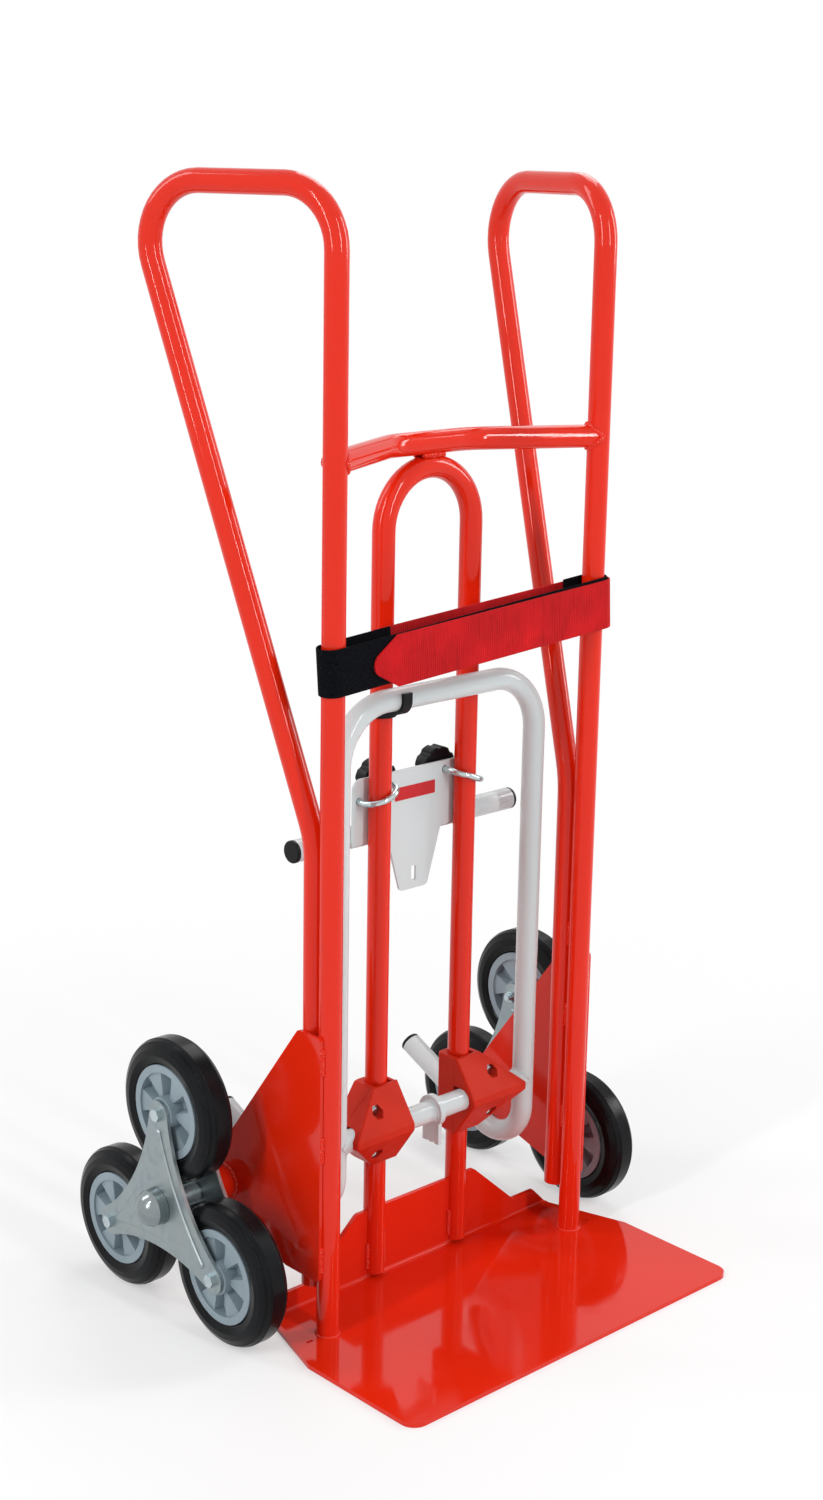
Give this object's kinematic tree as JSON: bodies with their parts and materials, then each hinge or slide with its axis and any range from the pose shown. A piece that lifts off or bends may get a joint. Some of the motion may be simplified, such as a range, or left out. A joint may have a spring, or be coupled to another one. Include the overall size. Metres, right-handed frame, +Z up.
{
  "type": "chair hand truck",
  "caption": "Upright hand truck for stacked chairs: bent-tube frame with loop handles, steel toe plate, stair-climbing wheel stars, swing-out lifting fork on rails and a holding strap",
  "frame": {"origin": "on the ground, under the toe plate, midway between the two uprights", "axes": "+X to the right seen from the front, -Y to the front where the toe plate points, +Z up"},
  "size_m": [0.6534, 0.5281, 1.228],
  "materials": {
    "red_paint": "glossy red powder coat",
    "white_paint": "smooth white powder coat",
    "red_casting": "matt red moulding",
    "zinc_steel": "bright zinc plate",
    "bright_steel": "polished zinc plate",
    "tyre": "black solid rubber",
    "grey_plastic": "blue-grey moulding",
    "black_plastic": "black moulding",
    "black_webbing": "black hook-and-loop band",
    "red_webbing": "red woven webbing",
    "red_label": "plain red label"
  },
  "bodies": {
    "frame": {"left_side_frame": "red_paint", "right_side_frame": "red_paint", "cross_bar": "red_paint", "guide_hoop": "red_paint", "toe_plate": "red_paint", "left_side_plate": "red_paint", "right_side_plate": "red_paint", "axle_bosses": "red_paint", "left_stub_axle": "zinc_steel", "right_stub_axle": "zinc_steel", "axle_washers": "zinc_steel", "axle_dome_nuts": "bright_steel", "hook_clip": "black_plastic", "strap_band": "black_webbing", "strap_tail": "red_webbing"},
    "left_star": {"left_star_inner_plate": "zinc_steel", "left_star_outer_plate": "zinc_steel", "left_star_hub": "zinc_steel", "left_wheel_bolts": "bright_steel", "left_wheel_nuts": "bright_steel", "left_wheel_spacers": "zinc_steel"},
    "right_star": {"right_star_inner_plate": "zinc_steel", "right_star_outer_plate": "zinc_steel", "right_star_hub": "zinc_steel", "right_wheel_bolts": "bright_steel", "right_wheel_nuts": "bright_steel", "right_wheel_spacers": "zinc_steel"},
    "left_top_wheel": {"left_top_tyre": "tyre", "left_top_wheel_hub": "grey_plastic"},
    "left_rear_wheel": {"left_rear_tyre": "tyre", "left_rear_wheel_hub": "grey_plastic"},
    "left_front_wheel": {"left_front_tyre": "tyre", "left_front_wheel_hub": "grey_plastic"},
    "right_top_wheel": {"right_top_tyre": "tyre", "right_top_wheel_hub": "grey_plastic"},
    "right_rear_wheel": {"right_rear_tyre": "tyre", "right_rear_wheel_hub": "grey_plastic"},
    "right_front_wheel": {"right_front_tyre": "tyre", "right_front_wheel_hub": "grey_plastic"},
    "carriage": {"left_clamp_front": "red_casting", "left_clamp_rear": "red_casting", "right_clamp_front": "red_casting", "right_clamp_rear": "red_casting", "clamp_bolts": "bright_steel", "clamp_nuts": "bright_steel"},
    "fork": {"fork_hoop": "white_paint", "pivot_tube": "white_paint", "lock_collar": "white_paint", "tine_caps": "black_plastic"},
    "slider": {"slider_plate": "white_paint", "slider_tube": "white_paint", "slider_tube_caps": "black_plastic", "slider_label": "red_label", "left_hook_bolt": "zinc_steel", "right_hook_bolt": "zinc_steel"},
    "left_knob": {"left_knob": "black_plastic"},
    "right_knob": {"right_knob": "black_plastic"}
  },
  "joints": [
    {"name": "left_star_spin", "type": "hinge", "parent": "frame", "child": "left_star", "pos_m": [-0.27, 0.156, 0.1332], "axis": [1, 0, 0], "continuous": true},
    {"name": "right_star_spin", "type": "hinge", "parent": "frame", "child": "right_star", "pos_m": [0.27, 0.156, 0.1332], "axis": [1, 0, 0], "continuous": true},
    {"name": "left_top_wheel_spin", "type": "hinge", "parent": "left_star", "child": "left_top_wheel", "pos_m": [-0.27, 0.156, 0.2396], "axis": [1, 0, 0], "continuous": true},
    {"name": "left_rear_wheel_spin", "type": "hinge", "parent": "left_star", "child": "left_rear_wheel", "pos_m": [-0.27, 0.24815, 0.08], "axis": [1, 0, 0], "continuous": true},
    {"name": "left_front_wheel_spin", "type": "hinge", "parent": "left_star", "child": "left_front_wheel", "pos_m": [-0.27, 0.06385, 0.08], "axis": [1, 0, 0], "continuous": true},
    {"name": "right_top_wheel_spin", "type": "hinge", "parent": "right_star", "child": "right_top_wheel", "pos_m": [0.27, 0.156, 0.2396], "axis": [1, 0, 0], "continuous": true},
    {"name": "right_rear_wheel_spin", "type": "hinge", "parent": "right_star", "child": "right_rear_wheel", "pos_m": [0.27, 0.24815, 0.08], "axis": [1, 0, 0], "continuous": true},
    {"name": "right_front_wheel_spin", "type": "hinge", "parent": "right_star", "child": "right_front_wheel", "pos_m": [0.27, 0.06385, 0.08], "axis": [1, 0, 0], "continuous": true},
    {"name": "carriage_slide", "type": "slide", "parent": "frame", "child": "carriage", "axis": [0, 0, 1], "range_m": [0, 0.19]},
    {"name": "fork_fold", "type": "hinge", "parent": "carriage", "child": "fork", "pos_m": [0, 0.0409, 0.197], "axis": [1, 0, 0], "range_deg": [0, 90], "deforming": ["hook_clip"]},
    {"name": "slider_slide", "type": "slide", "parent": "frame", "child": "slider", "axis": [0, 0, 1], "range_m": [-0.23, 0.05]},
    {"name": "left_knob_turn", "type": "hinge", "parent": "slider", "child": "left_knob", "pos_m": [-0.0445, 0.095, 0.582], "axis": [0, 1, 0], "range_deg": [0, 360]},
    {"name": "right_knob_turn", "type": "hinge", "parent": "slider", "child": "right_knob", "pos_m": [0.0445, 0.095, 0.582], "axis": [0, 1, 0], "range_deg": [0, 360]}
  ]
}
